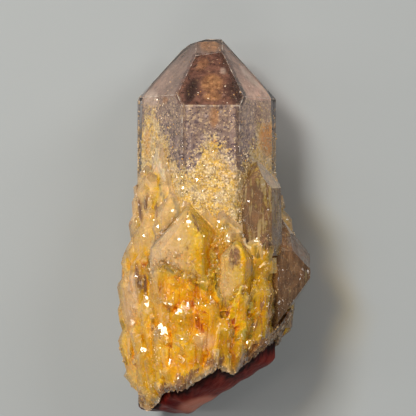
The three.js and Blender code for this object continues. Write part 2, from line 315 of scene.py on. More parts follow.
# Cream to gold to rust, by stain; broken by grain, fibres along the crystals, pale seams, white painted
# glints, pale rims that are frosted edges and painted edge highlights, painted reflections on marked faces,
# and a painted shade for each face.
def stainAndPaintedLightGroup():
    group, given, out = newGroup(
        "stainAndPaintedLight",
        {"Stain": 0, "Cloud": 0, "Window": 0, "Rim": 0, "Shade": 0.5, "Fibre": 0, "Grit": 1},
        {"Color": "Color", "Grain": "Float"},
    )
    place = millimetres(group)
    broad = noiseOf(place, 0.28)
    fine = noiseOf(place, 1.9, 4, 0.65)
    fibre = noiseOf(millimetres(group, (1.9, 0.32, 1.9)), 1)
    amount = roughened(roughened(given["Stain"], broad, 0.16), fine, 0.2)
    striped = times(ramp(fibre, 0.32, 0.68, -0.25, 0.25), given["Fibre"])
    stained = addNode("ValToRGB", {0: plus(amount, striped, clamp=True)})
    steps = stained.color_ramp.elements
    steps[0].color = (*stainAndLightColors["unstained"], 1)
    steps[1].color = (*stainAndLightColors["rust"], 1)
    for position, color in stainAndLightColors["steps"]:
        steps.new(position).color = (*color, 1)
    smoky = (ramp(fibre, 0.32, 0.68), stainAndLightColors["windowPale"])
    window = roughened(roughened(given["Window"], fine, 0.12), fibre, 0.5)
    cracks = seamsOf(group, (0.7, 0.45, 0.7), 0.035)
    seams = seamsOf(group, (0.9, 0.3, 0.9), 0.05)
    # Painted glints: small white specks.
    specks = specksOf(place, 2.4, 0.1, 0.24)
    color = layered(
        stained.outputs[0],
        (given["Cloud"], stainAndLightColors["cream"]),
        (ramp(window, 0.35, 0.75, 0, 0.95), layered(stainAndLightColors["windowDark"], smoky)),
        (times(cracks, ramp(fine, 0.5, 0.6, 0, 0.7)), stainAndLightColors["crack"]),
        (times(seams, ramp(broad, 0.42, 0.6, 0, 0.6)), stainAndLightColors["cream"]),
        # White painted glints.
        (times(specks, ramp(fine, 0.5, 0.6)), stainAndLightColors["paintedGlint"]),
        # Pale rims along the face edges: frosted edges and painted edge highlights.
        (times(given["Rim"], 0.85), stainAndLightColors["rim"]),
        # Faces marked above a shade of 1 get a pale painted reflection.
        (ramp(given["Shade"], 1.02, 1.1, 0, 0.5), stainAndLightColors["reflectionFace"]),
    )
    # Grain cells each get their own brightness: random tone, partly painted light on tiny faces that each
    # catch it their own way.
    grit = times(plus(toneOf(cells(place, 3.4), 0), -0.55), given["Grit"])
    # Painted shade: each face darker or lighter by its own marked amount.
    shade = ramp(given["Shade"], 0, 1, 0.7, 1.16)
    tone = times(ramp(grit, -0.5, 0.5, 0.8, 1.2), shade)
    group.links.new(scaled(color, tone), out["Color"])
    group.links.new(fine, out["Grain"])
    return group


print("node groups")
grainFacets = grainFacetsGroup()
stainAndPaintedLight = stainAndPaintedLightGroup()


# The stain and painted light, fed with the amounts painted on the piece, among them the painted shade of
# each face.
def paintedStainAndShade(tree, **given):
    painted = {name.title(): attribute(tree, name) for name in ("stain", "cloud", "window")}
    painted["Rim"] = ramp(attribute(tree, "rim"), 0.3, 0.8)
    painted["Shade"] = attribute(tree, "facet")
    return useGroup(tree, stainAndPaintedLight, **{**painted, **given})


clearLook = {
    "tint": (0.95, 0.91, 0.9),
    "shade": (0.93, 0.89, 0.88),
    "ior": 1.544,
    "absorb": (0.84, 0.74, 0.72),
    "density": 40,
    "roughBelow": (22, 14),  # mm along: smooth above, grainy below
}


def clearAmethystMaterial():
    material, tree = newMaterial("clearAmethyst")
    place = millimetres(tree)
    growthLines = noiseOf(millimetres(tree, (0.35, 3.2, 0.35)), 1)
    pits = times(specksOf(place, 0.9, 0, 0.22), -0.35)
    rough = ramp(axisOf(place, 1), *clearLook["roughBelow"])
    grains = useGroup(tree, grainFacets, Size=0.5, Least=0, Most=0.5, Mask=rough)
    lines = {"Height": plus(growthLines, pits), "Strength": 0.16, "Distance": 0.00012}
    bumped = addNode("Bump", {**lines, "Normal": grains["Normal"]}).outputs[0]
    haze = ramp(noiseOf(place, 0.9, 4), 0.45, 0.75, 0.01, 0.1)
    mist = {"Color": clearLook["absorb"], "Density": clearLook["density"]}
    volume = addNode("VolumeAbsorption", mist, tree).outputs[0]
    glass = {"Base Color": clearLook["tint"], "Roughness": haze, "IOR": clearLook["ior"], "Normal": bumped}
    return finishMaterial(material, {**glass, "Transmission Weight": 1}, clearLook["shade"], Volume=volume)


def coreMaterial(name, **given):
    material, tree = newMaterial(name)
    stained = paintedStainAndShade(tree, Fibre=0.4, Grit=0.7, **given)
    grains = useGroup(tree, grainFacets, Size=0.42, Least=0.15, Most=0.6, Columns=0.4)
    return finishMaterial(material, {
        "Base Color": stained["Color"], "Roughness": ramp(stained["Grain"], 0.3, 0.7, 0.12, 0.42),
        "IOR": 1.54, "Specular IOR Level": 0.3, "Normal": grains["Normal"],
        **waxy(0.6, 0.0006, (1, 0.7, 0.35)),
    })


# Cloudy quartz of the jacket and its large crystals: part of the light goes through to what lies below.
quartzLooks = {
    # fibre, light let through, least and most grain, columns, lowest and highest tone, shade
    "goldenSkin": (0.4, 0.6, 0.12, 0.55, 0.45, -0.25, 0.3, (0.95, 0.84, 0.6)),
    "honeyQuartz": (0.7, 0.6, 0.08, 0.55, 0.3, -0.1, 0.1, (1, 0.95, 0.84)),
    "mauveQuartz": (0.9, 0.55, 0.03, 0.5, 0.3, -0.1, 0.1, (0.95, 0.84, 0.6)),
}


def quartzMaterial(name):
    fibre, through, least, most, columns, dullest, brightest, shade = quartzLooks[name]
    material, tree = newMaterial(name)
    tone = ramp(attribute(tree, "tone"), 0, 1, dullest, brightest)
    crease = ramp(attribute(tree, "clean"), 0.3, 1, 0.22, 0)
    stain = plus(attribute(tree, "stain"), plus(tone, crease))
    stained = paintedStainAndShade(tree, Stain=stain, Fibre=fibre, Grit=0.25)
    grains = useGroup(tree, grainFacets, Size=0.42, Least=least, Most=most, Columns=columns)
    return finishMaterial(material, {
        "Base Color": stained["Color"], "Roughness": ramp(stained["Grain"], 0.35, 0.65, 0.03, 0.16),
        "IOR": 1.544, "Transmission Weight": through, "Normal": grains["Normal"],
        "Coat Weight": 0.6, "Coat Roughness": 0.03, "Coat IOR": 1.5,
    }, shade)


phantomColors = {
    "mauveLow": (0.16, 0.115, 0.125), "mauveHigh": (0.25, 0.175, 0.13), "mottle": (0.24, 0.18, 0.15),
    # The glint colour on this line is for painted glints.
    "paleGrain": (0.42, 0.32, 0.2), "darkGrain": (0.1, 0.07, 0.08), "paintedGlint": (0.82, 0.7, 0.48),
    # The front colours and black are painted darkness: the dark inside and dark reflections seen through the
    # front face.
    "mistDark": (0.21, 0.135, 0.105), "mistPale": (0.38, 0.265, 0.205), "frontDark": (0.085, 0.036, 0.028),
    "frontPale": (0.2, 0.1, 0.068), "brownDark": (0.2, 0.09, 0.04), "brownPale": (0.46, 0.25, 0.11),
    "cloud": (0.62, 0.51, 0.42), "black": (0.026, 0.014, 0.012), "gold": (0.74, 0.48, 0.06),
    "dullGold": (0.6, 0.52, 0.4), "paleGold": (0.86, 0.78, 0.6), "rust": (0.56, 0.25, 0.05),
}


def phantomMaterial():
    colors = phantomColors
    material, tree = newMaterial("phantomCloud")
    place = millimetres(tree)
    across, along = axisOf(place, 0), axisOf(place, 1)
    golden, side, pale = (attribute(tree, name) for name in ("golden", "side", "cloud"))
    mottle = noiseOf(place, 0.9, 5, 0.7)
    mottled = ramp(mottle, 0.35, 0.65)
    grain = noiseOf(place, 2.6, 4, 0.7)
    grains = useGroup(tree, grainFacets, Size=0.3, Least=0.03, Most=0.7, Mask=ramp(side, 0, 1, 1, 0))
    # Painted glints: pale specks on the phantom.
    specks = times(specksOf(place, 2.6, 0.08, 0.26), ramp(grain, 0.48, 0.56))
    mauve = layered(
        colors["mauveLow"],
        (ramp(along, 12, 21), colors["mauveHigh"]),
        (mottled, colors["mottle"]),
        (ramp(grains["Tone"], 0.78, 0.84), colors["paleGrain"]),
        (ramp(grains["Tone"], 0.2, 0.12), colors["darkGrain"]),
        (specks, colors["paintedGlint"]),
    )
    # misty streaks on the slanting faces, each side its own way, with painted light: lighter to the right
    left, right = (noiseOf(millimetres(tree, (0.6, 0.09, 0.3), turn), 1, 1.5) for turn in (-48, 42))
    streaks = addNode("Mix", {0: ramp(across, -0.6, 0.6), 2: left, 3: right}).outputs[0]
    mist = layered(colors["mistDark"], (ramp(streaks, 0.36, 0.66), colors["mistPale"]))
    mist = scaled(mist, ramp(across, -1.5, 1.5, 0.8, 1.25))
    # Painted light: the colour is brightened towards the right and the far left of the tip.
    lift = times(ramp(across, 2.5, 7, 1, 2.3), ramp(across, -4, -8.5, 1, 1.3))
    # Painted dark reflections in the dark patches of the front face.
    black = times(attribute(tree, "dark"), ramp(mottle, 0.3, 0.5, 0.6, 1))
    color = layered(
        scaled(layered(mauve, (side, mist)), lift),
        # Painted darkness over the front face, for the dark inside seen through it.
        (attribute(tree, "front"), layered(colors["frontDark"], (mottled, colors["frontPale"]))),
        (attribute(tree, "brown"), layered(colors["brownDark"], (mottled, colors["brownPale"]))),
        (times(pale, 0.8), colors["cloud"]),
        (black, colors["black"]),
    )
    # golden druse, warmer to the right
    stain, cloud = ramp(golden, 0.3, 1, 0, 0.22), ramp(pale, 0, 1, 0.2, 0.8)
    patches = noiseOf(place, 0.55)
    crystals = toneOf(cells(place, 4.2), 1)
    gold = layered(
        useGroup(tree, stainAndPaintedLight, Stain=stain, Cloud=cloud, Grit=0.6)["Color"],
        (ramp(patches, 0.44, 0.6, 0, 0.75), colors["gold"]),
        (ramp(patches, 0.46, 0.34, 0, 0.4), colors["dullGold"]),
        (ramp(crystals, 0.74, 0.82, 0, 0.5), colors["paleGold"]),
        (ramp(crystals, 0.4, 0.2, 0, 0.5), mauve),
        (attribute(tree, "rust"), colors["rust"]),
    )
    gold = scaled(gold, ramp(across, 6, 8, 0.93, 1.25))
    edge = roughened(roughened(golden, grain, 0.3, 0.3, 0.7), grains["Tone"], 0.35, 0, 1)
    veil = roughened(attribute(tree, "veil"), mottle, 0.2, 0.35, 0.65)
    return finishMaterial(material, {
        "Base Color": layered(color, (ramp(edge, 0.38, 0.68), gold)),
        "Roughness": 0.32, "IOR": 1.3, "Alpha": plus(veil, 0, clamp=True), "Normal": grains["Normal"],
        **waxy(0.3, 0.0004, (1, 0.7, 0.5)),
    })


def fleckMaterial():
    material, tree = newMaterial("goldFleck")
    white = ramp(noiseOf(millimetres(tree), 1.7, 2), 0.47, 0.53)
    return finishMaterial(material, {
        "Base Color": layered(flecks["gold"], (white, flecks["white"])),
        "Roughness": 0.25, "IOR": 1.8, "Coat Weight": 0.5, "Coat Roughness": 0.1,
    })


def rootMaterial():
    material, tree = newMaterial("brokenRoot")
    place = millimetres(tree)
    color = layered(
        rootLook["dark"],
        (ramp(noiseOf(place, 0.35, 4), 0.35, 0.65), rootLook["red"]),
        (attribute(tree, "cloud"), rootLook["cloud"]),
        # Painted shadow under the overhanging jacket edge.
        (attribute(tree, "gap"), rootLook["gap"]),
    )
    bump = addNode("Bump", {"Height": noiseOf(place, 0.8), "Strength": 0.35, "Distance": 0.0005})
    return finishMaterial(material, {
        "Base Color": color, "Roughness": 0.3, "IOR": 1.2, "Specular IOR Level": 0.1,
        "Normal": bump.outputs[0], **waxy(0.5, 0.001, (1, 0.4, 0.4)),
    })


# Tiny quartz points, cream or gold.
def sugarMaterial():
    material, tree = newMaterial("sugarQuartz")
    stained = useGroup(tree, stainAndPaintedLight, Stain=0.1, Cloud=0.55)
    return finishMaterial(material, {
        "Base Color": stained["Color"], "Roughness": 0.2, "IOR": 1.54,
        "Coat Weight": 1, "Coat Roughness": 0.04, "Coat IOR": 1.7,
    })


# Frosted quartz along the edges, standing partly for painted edge highlights.
def frostAndHighlightMaterial():
    material, _ = newMaterial("frostAndHighlightEdge")
    frost = {"Base Color": (0.66, 0.61, 0.53), "Roughness": 0.3, "IOR": 1.54, "Transmission Weight": 0.5}
    return finishMaterial(material, frost, (0.9, 0.88, 0.84))


# Cloudy veils inside the smoky crystals; cover is how much they hide.
veilLook = {
    "dark": (0.17, 0.08, 0.045), "pale": (0.42, 0.25, 0.14), "stain": (0.66, 0.42, 0.18),
    "rim": (0.84, 0.77, 0.62), "cover": (0.4, 0.9),
}


def veilMaterial():
    material, tree = newMaterial("smokyVeil")
    place = millimetres(tree)
    rim = ramp(attribute(tree, "rim"), 0.3, 0.9)
    color = layered(
        veilLook["dark"],
        (ramp(noiseOf(place, 0.35, 2, 0.5, 0.4), 0.38, 0.62), veilLook["pale"]),
        (ramp(noiseOf(place, 1.4, 3, 0.6), 0.5, 0.75), veilLook["stain"]),
        # Pale rims along the face edges: frosted edges and painted edge highlights.
        (times(rim, 0.6), veilLook["rim"]),
    )
    # Painted shade: each face darker or lighter by its own marked amount.
    shade = ramp(attribute(tree, "facet"), 0, 1, 0.78, 1.1)
    hidden = ramp(noiseOf(place, 0.5, 3, 0.5), 0.36, 0.62, *veilLook["cover"])
    grains = useGroup(tree, grainFacets, Size=0.5, Least=0.1, Most=0.5, Columns=0.3)
    return finishMaterial(material, {
        "Base Color": scaled(color, shade), "Roughness": 0.3, "IOR": 1.4, "Normal": grains["Normal"],
        "Alpha": plus(hidden, rim, clamp=True), **waxy(0.3, 0.0005, (1, 0.6, 0.35)),
    })


# shapes; millimetres until they are finished

def cutAway(bm, point, normal):
    cut = bmesh.ops.bisect_plane(
        bm, geom=bm.verts[:] + bm.edges[:] + bm.faces[:], dist=1e-6,
        plane_co=point, plane_no=normal, clear_outer=True,
    )
    rim = [edge for edge in cut["geom_cut"] if isinstance(edge, bmesh.types.BMEdge)]
    if rim:
        bmesh.ops.contextual_create(bm, geom=rim)


def triangulate(bm):
    bmesh.ops.triangulate(bm, faces=bm.faces[:])


def flattenBelow(bm, height=0):
    cutAway(bm, Vector((0, 0, height)), downwards)


# One quartz crystal, cut out of a block by its prism and pyramid faces; inset draws every face inwards.
def quartzCrystal(shape, inset=0, blockWidth=60):
    sides = shape["sides"]
    drops = shape.get("drops", [0] * 6)
    length = shape["length"] - inset
    bm = bmesh.new()
    bmesh.ops.create_cube(bm, size=1)
    bmesh.ops.scale(bm, vec=(blockWidth, length + 2, blockWidth), verts=bm.verts)
    bmesh.ops.translate(bm, vec=(0, 1 - length / 2, 0), verts=bm.verts)
    taper = radians(shape.get("taper", 0))
    for k in range(6):
        angle = radians(90 + shape.get("roll", 0) - 60 * k)
        out = Vector((cos(angle), 0, sin(angle)))
        side = out * cos(taper) + Vector((0, sin(taper), 0))
        shoulder = out * sides[k] - Vector((0, drops[k] + sides[k] * tan(quartzSlope), 0))
        cutAway(bm, shoulder - side * inset, side)
        slope = out * sin(quartzSlope) + Vector((0, cos(quartzSlope), 0))
        cutAway(bm, Vector((0, -drops[k], 0)) - slope * inset, slope)
    for toward, tilt, depth in shape.get("facets", []):
        a, t = radians(toward), radians(tilt)
        normal = Vector((cos(a) * sin(t), cos(t), sin(a) * sin(t)))
        cutAway(bm, Vector((0, -depth, 0)) - normal * inset, normal)
    right, up = shape.get("lean", (0, 0))
    turn = Matrix.Rotation(radians(-right), 4, "Z") @ Matrix.Rotation(radians(up), 4, "X")
    bm.transform(Matrix.Translation(shape["tip"]) @ turn)
    return bm


# A small quartz point: a six-sided prism with its pyramid, a little uneven.
def quartzPoint(bm, rng, tip, direction, halfWidth, length):
    made = bmesh.ops.create_cone(
        bm, cap_ends=True, segments=6, radius1=halfWidth * 0.35, radius2=halfWidth, depth=length,
    )["verts"]
    top = [vert for vert in made if vert.co.z > 0]
    cap = next(face for face in top[0].link_faces if set(face.verts) == set(top))
    centre = bmesh.ops.poke(bm, faces=[cap])["verts"]
    apexHeight = halfWidth * tan(quartzSlope) * 0.87
    for vert in centre:
        across, up = (rng.uniform(-0.3, 0.3) * halfWidth for _ in range(2))
        vert.co += Vector((across, up, apexHeight))
    for vert in top:
        vert.co.z += rng.uniform(-0.3, 0.3) * halfWidth
    verts = made + centre
    bmesh.ops.scale(bm, vec=(rng.uniform(0.7, 1.35), rng.uniform(0.7, 1.35), 1), verts=verts)
    spin = Matrix.Rotation(rng.uniform(0, pi), 4, "Z")
    lift = Matrix.Translation((0, 0, -length / 2 - apexHeight))
    bmesh.ops.transform(bm, matrix=Matrix.Translation(tip) @ turnTo(direction) @ spin @ lift, verts=verts)


def turnTo(direction):
    return direction.to_track_quat("Z", "Y").to_matrix().to_4x4()


def addTo(bm, other):
    mesh = bpy.data.meshes.new("part")
    other.to_mesh(mesh)
    other.free()
    bm.from_mesh(mesh)
    bpy.data.meshes.remove(mesh)


# Many small shapes in one piece. They are made in batches, because operators slow down in a large mesh.
def scattered(name, make, rng, rows, batchSize=60):
    whole, batch = bmesh.new(), bmesh.new()
    for index, row in enumerate(rows):
        make(batch, rng, *row)
        if index % batchSize == 0:
            addTo(whole, batch)
            batch = bmesh.new()
    addTo(whole, batch)
    return objectFrom(whole, name)


# Draws each face in a little, to tell rim from middle, and marks its crystal's tone and its own painted
# shade: a random darkness for each face, as if each face caught the light its own way.
def markFaces(bm, rng, rimWidth, tone, even=True):
    tones = bm.faces.layers.float.new("tone")
    shades = bm.faces.layers.float.new("facet")
    for face in bm.faces:
        face[tones] = tone
        face[shades] = rng.random()
    corners = set(bm.verts)
    bmesh.ops.inset_individual(bm, faces=bm.faces[:], thickness=rimWidth, use_even_offset=even)
    rims = bm.loops.layers.float.new("rim")
    clean = bm.verts.layers.float.new("clean")
    for vert in bm.verts:
        vert[clean] = 1
    for face in bm.faces:
        for loop in face.loops:
            loop[rims] = 1 if loop.vert in corners else 0
    triangulate(bm)


# A small quartz point of its own, with its faces marked.
def markedPoint(rng, tip, direction, halfWidth, length):
    single = bmesh.new()
    quartzPoint(single, rng, tip, direction, halfWidth, length)
    markFaces(single, rng, min(0.08, halfWidth * 0.14), rng.random())
    return single


# Random places on triangles, each (corners, normal, area), with the triangle's normal.
def placesOn(rng, triangles, count):
    for corners, normal, _ in rng.choices(triangles, [area for _, _, area in triangles], k=count):
        a, b = sorted((rng.random(), rng.random()))
        yield corners[0] * a + corners[1] * (b - a) + corners[2] * (1 - b), normal


# Tip, direction and size of a tiny crystal that stands a little askew.
def tinyPoint(rng, place, normal, look):
    halfWidth = rng.uniform(*look["halfWidth"])
    aside = Vector([rng.gauss(0, look["askew"]) for _ in range(3)])
    direction = (normal + aside + Vector((0, look["along"], 0))).normalized()
    return place + direction * halfWidth * rng.uniform(*look["proud"]), direction, halfWidth, halfWidth * 1.5


def modify(piece, kind, **settings):
    modifier = piece.modifiers.new("change", kind)
    for name, value in settings.items():
        setattr(modifier, name, value)
    bpy.context.view_layer.update()
    mesh = bpy.data.meshes.new_from_object(piece.evaluated_get(bpy.context.evaluated_depsgraph_get()))
    old = piece.data
    piece.modifiers.clear()
    piece.data = mesh
    bpy.data.meshes.remove(old)


def remesh(piece, voxel):
    modify(piece, "REMESH", mode="VOXEL", voxel_size=voxel)


def combine(piece, other, operation):
    modify(piece, "BOOLEAN", operation=operation, solver="MANIFOLD", object=other)
    bpy.data.objects.remove(other)
    return piece


def cutOut(piece, bm):
    combine(piece, objectFrom(bm, "cutter"), "DIFFERENCE")


def grownTogether(pieces):
    while len(pieces) > 1:
        pairs = [pieces[i:i + 2] for i in range(0, len(pieces), 2)]
        pieces = [combine(*pair, "UNION") if len(pair) == 2 else pair[0] for pair in pairs]
    return pieces[0]


@contextmanager
def edited(mesh):
    bm = bmeshOf(mesh)
    yield bm
    bm.to_mesh(mesh)
    bm.free()


def treeOf(bm):
    tree = BVHTree.FromBMesh(bm)
    bm.free()
    return tree


# Place and normal that a look straight down meets first.
def seenFromAbove(tree, x, y, height=60):
    return tree.ray_cast(Vector((x, y, height)), downwards)[:2]


# Drops crumbs: islands with less than this share of the largest one's points.
def keepLargest(piece, share=0.01):
    with edited(piece.data) as bm:
        left, islands = set(bm.verts), []
        while left:
            front = {left.pop()}
            island = list(front)
            while front:
                front = left & {edge.other_vert(vert) for vert in front for edge in vert.link_edges}
                left -= front
                island += front
            islands.append(island)
        largest = max(len(island) for island in islands)
        for island in islands:
            if len(island) < largest * share:
                bmesh.ops.delete(bm, geom=island, context="VERTS")


def standOnFloor(bm):
    for vert in bm.verts:
        vert.co.z = max(vert.co.z, 0)


def divideLongEdges(piece, longest=0.9):
    with edited(piece.data) as bm:
        for _ in range(3):
            long = [edge for edge in bm.edges if edge.calc_length() > longest]
            bmesh.ops.subdivide_edges(bm, edges=long, cuts=1)
            triangulate(bm)
        standOnFloor(bm)


def soften(piece, rounds):
    with edited(piece.data) as bm:
        for _ in range(rounds):
            bmesh.ops.smooth_vert(
                bm, verts=bm.verts, factor=0.5, use_axis_x=True, use_axis_y=True, use_axis_z=True,
            )
        standOnFloor(bm)


def finishPiece(piece, material, slotName, smooth=False):
    piece.data.transform(Matrix.Scale(millimetre, 4))
    piece.data.materials.clear()
    piece.data.materials.append(material)
    for polygon in piece.data.polygons:
        polygon.use_smooth = smooth
    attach(piece, "root")
    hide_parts("amethyst_crystal")
    print("piece", piece.name, len(piece.data.polygons), "faces")


def smoothstep(low, high, value):
    t = min(max((value - low) / (high - low), 0), 1)
    return t * t * (3 - 2 * t)


# How far a place lies inside soft oval spots: (x, y, half width, half height, turn in degrees, strength).
def spotted(spots, place):
    most = 0
    for x, y, across, along, turn, strength in spots:
        dx, dy = place.x - x, place.y - y
        c, s = cos(radians(turn)), sin(radians(turn))
        far = hypot((dx * c + dy * s) / across, (dy * c - dx * s) / along)
        most = max(most, strength * (1 - smoothstep(0.55, 1.15, far)))
    return most


# Paints named amounts on a piece; amountsAt gives them for a point's place and normal.
def paintPoints(piece, amountsAt):
    rows = [amountsAt(vertex.co, vertex.normal) for vertex in piece.data.vertices]
    for name in rows[0]:
        layer = piece.data.attributes.new(name, "FLOAT", "POINT")
        layer.data.foreach_set("value", [row[name] for row in rows])


# main crystal

mainShape = {
    "tip": (-1.058, 35.95, 10.4),
    "sides": [10.4, 10, 10.9, 10.8, 12.6, 9],
    "drops": [1.7, 0.6, -0.6, 0.2, -2.5, 1.5],
    "facets": [
        (60, 8, 2.4), (178, 36, 1.3), (170, 16, 2.7), (96, 33, 3.6), (5, 41, 0.5), (-80, 28, 1.9),
    ],
    "length": 51.5,
}
mainLook = {"edge": 0.07, "phantomDepth": 0.5, "goldDepth": 0.24, "voxel": 0.4}


def clearCrystal():
    bm = quartzCrystal(mainShape)
    flattenBelow(bm)
    bmesh.ops.bevel(
        bm, geom=bm.edges[:], offset=mainLook["edge"], segments=2, profile=0.5, affect="EDGES", material=-1,
    )
    return objectFrom(bm, "clear_crystal")


# Golden growth climbs the prism in peaks: (across, top, half width of the foot).
goldenPeaks = [(-10.6, 21.4, 5.6), (-0.3, 16, 5.2), (8.6, 20.4, 4.6)]
goldenFoot = 9

phantomSpots = {
    "cloud": [
        (2.5, 9.6, 2.2, 1.6, 0, 0.9), (-10.6, 22.6, 1.4, 1.6, 0, 0.8), (0.5, 12.5, 1.6, 1.2, 0, 0.5),
        (1.7, 27.2, 0.6, 0.7, 30, 0.6), (6.4, 26.6, 1.6, 3.4, 40, 1), (3.6, 30.6, 0.8, 2.6, 35, 0.4),
        (-7, 28.4, 0.8, 2.4, -42, 0.2), (9.4, 20.6, 1.8, 3.8, 0, 0.45), (8.4, 25, 1.4, 2.6, 40, 0.7),
        (5.6, 20.4, 1.4, 2.6, 0, 0.35),
    ],
    "brown": [
        (-0.3, 24.9, 2.1, 1.9, 0, 1), (-0.2, 22.6, 1.8, 0.9, 0, 0.9), (0.1, 19.2, 0.9, 2.2, 0, 0.8),
        (-8, 22.2, 0.6, 0.8, 0, 0.8), (-0.5, 31.9, 2.2, 1.5, 0, 1), (8.2, 19, 1.8, 3.4, 0, 0.45),
        (-2, 28.3, 1.6, 1, 45, 0.5),
    ],
    # Dark patches on the front face: painted dark reflections.
    "dark": [
        (-3.9, 23.6, 1.2, 2.8, -20, 0.9), (3.6, 23.2, 1.3, 2.9, 22, 0.65), (0.4, 25.6, 0.9, 0.5, 0, 0.3),
    ],
    "rust": [
        (9.2, 15.6, 2, 3.4, 0, 0.8), (-11.2, 15, 0.7, 3.2, 0, 0.4), (0.2, 14.9, 0.5, 0.35, 0, 0.9),
        (5.4, 8, 0.35, 1.5, -12, 1), (-9.2, 19.4, 1.1, 0.3, -10, 0.6), (-2.6, 22.4, 1.2, 0.25, 8, 0.5),
    ],
}


# How golden a place on the main crystal is, 0 to 1.
def goldenAmount(place):
    wobble = 1.6 * noise.noise(place * 0.45) + 0.8 * noise.noise(place * 1.4)
    lift = 1.2 * noise.noise(place * 0.8)
    top = goldenFoot
    for across, peak, halfWidth in goldenPeaks:
        slope = 1 - abs(place.x + wobble - across) / halfWidth
        top = max(top, goldenFoot + (peak - goldenFoot) * slope)
    return smoothstep(-3, 2.6, top + lift - place.y)


phantomShape = {
    **mainShape,
    "sides": [side - inward for side, inward in zip(mainShape["sides"], (0, 0.4, 0.9, 0.4, 0.9, 0.4))],
    "drops": [drop + lower for drop, lower in zip(mainShape["drops"], (0, 0.6, 0.6, 0, 0.6, 0.6))],
    "length": mainShape["length"] - 1,
}


def phantom():
    depth = mainLook["phantomDepth"]
    bm = quartzCrystal(phantomShape, depth)
    flattenBelow(bm, depth)
    triangulate(bm)
    piece = objectFrom(bm, "phantom_cloud")
    remesh(piece, mainLook["voxel"])
    facing = Vector((0, cos(quartzSlope), sin(quartzSlope)))
    surface = treeOf(quartzCrystal(mainShape))

    def amountsAt(place, normal):
        golden = goldenAmount(place)
        above = smoothstep(-0.2, 0.3, normal.z)
        over = seenFromAbove(surface, place.x, place.y)[1]
        # The face seen head-on from above; it is painted dark, for the dark inside seen through it.
        front = above if over and over.dot(facing) > 0.99 else 0
        cloud, brown, dark, rust = (spotted(spots, place) for spots in phantomSpots.values())
        return {
            "golden": golden, "cloud": cloud * above, "brown": brown * above, "dark": dark * front,
            "rust": rust * above, "front": front,
            "side": smoothstep(0.8, 0.6, normal.z) * smoothstep(0.2, 0.5, normal.y) * (1 - front),
            "veil": max(golden, 0.9 - 0.22 * smoothstep(0.75, 0.5, normal.z)),
        }

    paintPoints(piece, amountsAt)
    normals = [vertex.normal.copy() for vertex in piece.data.vertices]
    for vertex, normal in zip(piece.data.vertices, normals):
        rise = goldenAmount(vertex.co) * (depth - mainLook["goldDepth"])
        vertex.co += normal * (rise + 0.16 * noise.noise(vertex.co * 2.1) - 0.08)
    return piece


# Faces of the clear crystal, drawn in by depth, as triangles to scatter on.
def clearFaces(depth, isWanted):
    bm = quartzCrystal({**mainShape, "length": 42}, depth)
    triangulate(bm)
    triangles = [
        ([vert.co.copy() for vert in face.verts], face.normal.copy(), face.calc_area())
        for face in bm.faces if isWanted(face.normal)
    ]
    bm.free()
    return triangles


# Thin gold and white flecks caught between the clear quartz and the phantom.
flecks = {
    "count": 900, "depth": 0.38, "size": (0.05, 0.2), "thickness": 0.03, "seed": 11,
    "gold": (0.7, 0.36, 0.03), "white": (0.9, 0.84, 0.7),
}


def goldFleck(bm, rng, place, size, turn):
    bmesh.ops.create_cone(
        bm, cap_ends=True, segments=5, radius1=size, radius2=size * 0.8, depth=flecks["thickness"],
        matrix=Matrix.Translation(place) @ turn,
    )


def goldFlecks():
    rng = random.Random(flecks["seed"])
    triangles = clearFaces(flecks["depth"], lambda normal: normal.z > 0.05)

    def rows():
        for place, _ in placesOn(rng, triangles, flecks["count"]):
            wanted = smoothstep(28, 22, place.y) * smoothstep(0, 8, place.y)
            band = 1 - smoothstep(0.3, 1.2, abs(place.y - 23.6))
            if rng.random() <= 0.15 + 0.3 * wanted + band and place.y >= 0:
                size = rng.uniform(*flecks["size"])
                yield place, size, turnTo(Vector([rng.gauss(0, 1) for _ in range(3)]))

    return scattered("gold_flecks", goldFleck, rng, rows())


# A crust of tiny quartz points wherever the main crystal has turned golden.
sugarLook = {
    "count": 5200, "halfWidth": (0.06, 0.2), "askew": 0.5, "along": 0.3, "proud": (0.3, 0.9), "seed": 5,
}


def sugar():
    rng = random.Random(sugarLook["seed"])
    triangles = clearFaces(0, lambda normal: normal.z > -0.7 and abs(normal.y) < 0.5)
    rows = (
        tinyPoint(rng, place, normal, sugarLook)
        for place, normal in placesOn(rng, triangles, sugarLook["count"])
        if place.y >= 0 and place.z >= 0.5 and rng.random() <= goldenAmount(place) ** 2
    )
    return scattered("sugar_quartz", quartzPoint, rng, rows)


# Thin uneven frosted lines along the edges of the main crystal: partly frosted wear, partly painted edge
# highlights.
edgeLook = {"radius": 0.05, "reach": 23, "piece": 0.35, "lowest": 15}


def frostAndHighlightEdges():
    radius = edgeLook["radius"]
    whole = bmesh.new()
    body = quartzCrystal({**mainShape, "length": edgeLook["reach"]}, radius * 0.6)
    for edge in body.edges:
        start, end = (vert.co.copy() for vert in edge.verts)
        length = (end - start).length
        if length < 0.5 or min(start.z, end.z) < 0.3 or max(start.y, end.y) < edgeLook["lowest"]:
            continue
        rod = bmesh.new()
        bmesh.ops.create_cone(rod, cap_ends=True, segments=5, radius1=radius, radius2=radius, depth=length)
        lengthwise = [side for side in rod.edges if side.calc_length() > length * 0.95]
        bmesh.ops.subdivide_edges(rod, edges=lengthwise, cuts=max(1, int(length / edgeLook["piece"])))
        for vert in rod.verts:
            swell = 0.15 + 2.2 * max(0, noise.noise(start + Vector((0, 0, vert.co.z * 1.3))))
            vert.co.x *= swell
            vert.co.y *= swell
        rod.transform(Matrix.Translation((start + end) / 2) @ turnTo(end - start))
        addTo(whole, rod)
    body.free()
    return objectFrom(whole, "frost_and_highlight_edges")


# broken root

